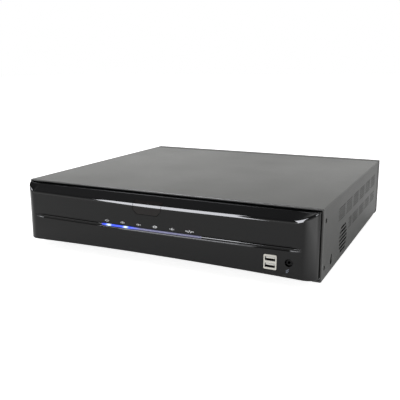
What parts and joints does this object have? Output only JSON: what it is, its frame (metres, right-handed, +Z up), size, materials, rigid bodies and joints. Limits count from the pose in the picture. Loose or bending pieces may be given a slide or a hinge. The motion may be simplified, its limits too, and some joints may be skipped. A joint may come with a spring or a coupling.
{
  "type": "video recorder",
  "caption": "Slim dark steel recorder case with a bowed gloss-black front moulding, a groove with a lit bar, front sockets, vented sides and a rear socket panel.",
  "frame": {"origin": "middle of the footprint on the surface that the feet stand on, under the centre of the bounding box", "axes": "+X to the right-hand side seen from the front, +Y to the back, +Z up"},
  "size_m": [0.43, 0.412, 0.097],
  "materials": {
    "cover_paint": "satin dark grey paint",
    "zinc_steel": "zinc-plated",
    "panel_paint": "satin black paint",
    "bezel_gloss": "high gloss",
    "light_guide": "clear moulding, lit blue at one end",
    "tinted_window": "smoky red-brown tint",
    "circuit_board": "solder mask",
    "lamp_blue": "lit",
    "dark_resin": "moulded resin",
    "socket_plate": "nickel-plated",
    "tongue_white": "moulded",
    "black_plastic": "fine texture",
    "screw_black": "black oxide",
    "foot_rubber": "matte",
    "brass_parts": "turned",
    "heat_sink_metal": "extruded",
    "capacitor_sleeve": "shrink sleeve",
    "cell_steel": "bright",
    "header_plastic": "moulded",
    "nickel_shell": "nickel-plated",
    "gold_contact": "gold-plated",
    "insert_red": "moulded",
    "insert_blue": "moulded",
    "terminal_green": "moulded",
    "chrome_wire": "plated wire",
    "supply_board_brown": "laminate",
    "supply_mixed": "mixed components",
    "drive_alloy": "cast",
    "cable_red": "sleeved",
    "cable_grey": "sleeved",
    "cable_yellow": "sleeved"
  },
  "bodies": {
    "recorder": {"top_cover": "cover_paint", "chassis_tray": "zinc_steel", "rear_panel": "panel_paint", "front_bezel": "bezel_gloss", "light_bar": "light_guide", "ir_window": "tinted_window", "front_board": "circuit_board", "status_lamps": "lamp_blue", "ir_receiver": "dark_resin", "usb_ports": "socket_plate", "usb_tongues": "tongue_white", "usb_board": "circuit_board", "front_jack": "black_plastic", "rack_nuts": "screw_black", "cover_screws": "screw_black", "bezel_screws": "zinc_steel", "rubber_feet": "foot_rubber", "foot_screws": "zinc_steel", "main_board": "circuit_board", "board_standoffs": "brass_parts", "board_screws": "zinc_steel", "video_processor": "dark_resin", "heat_sink": "heat_sink_metal", "memory_chips": "dark_resin", "support_chips": "dark_resin", "capacitors": "capacitor_sleeve", "coin_cell": "cell_steel", "cell_holder": "black_plastic", "board_headers": "header_plastic", "video_board": "circuit_board", "bnc_shells": "nickel_shell", "bnc_insulators": "tongue_white", "bnc_pins": "gold_contact", "audio_jacks": "nickel_shell", "audio_inserts": "insert_red", "vga_port": "nickel_shell", "vga_insert": "insert_blue", "hdmi_port": "nickel_shell", "lan_port": "nickel_shell", "terminal_block": "terminal_green", "mains_inlet": "black_plastic", "inlet_pins": "nickel_shell", "switch_frame": "black_plastic", "rear_fan_frame": "black_plastic", "rear_fan_guard": "chrome_wire", "side_fan_frame": "black_plastic", "fan_screws": "screw_black", "supply_case": "zinc_steel", "supply_board": "supply_board_brown", "supply_parts": "supply_mixed", "drive_bracket": "zinc_steel", "hard_drive_1": "drive_alloy", "hard_drive_2": "drive_alloy", "drive_screws": "zinc_steel", "drive_cables": "cable_red", "front_cables": "cable_grey", "supply_harness": "cable_yellow"},
    "side_fan_rotor": {"side_fan_rotor": "black_plastic"},
    "rear_fan_rotor": {"rear_fan_rotor": "black_plastic"},
    "power_rocker": {"power_rocker": "black_plastic"}
  },
  "joints": [
    {"name": "side_fan_spin", "type": "hinge", "parent": "recorder", "child": "side_fan_rotor", "pos_m": [0.207, -0.0773, 0.0339], "axis": [1, 0, 0], "continuous": true},
    {"name": "rear_fan_spin", "type": "hinge", "parent": "recorder", "child": "rear_fan_rotor", "pos_m": [0.09, 0.183, 0.053], "axis": [0, 1, 0], "continuous": true},
    {"name": "power_switch", "type": "hinge", "parent": "recorder", "child": "power_rocker", "pos_m": [0.172, 0.191, 0.07], "axis": [0, 0, 1], "range_deg": [-18, 0]}
  ]
}
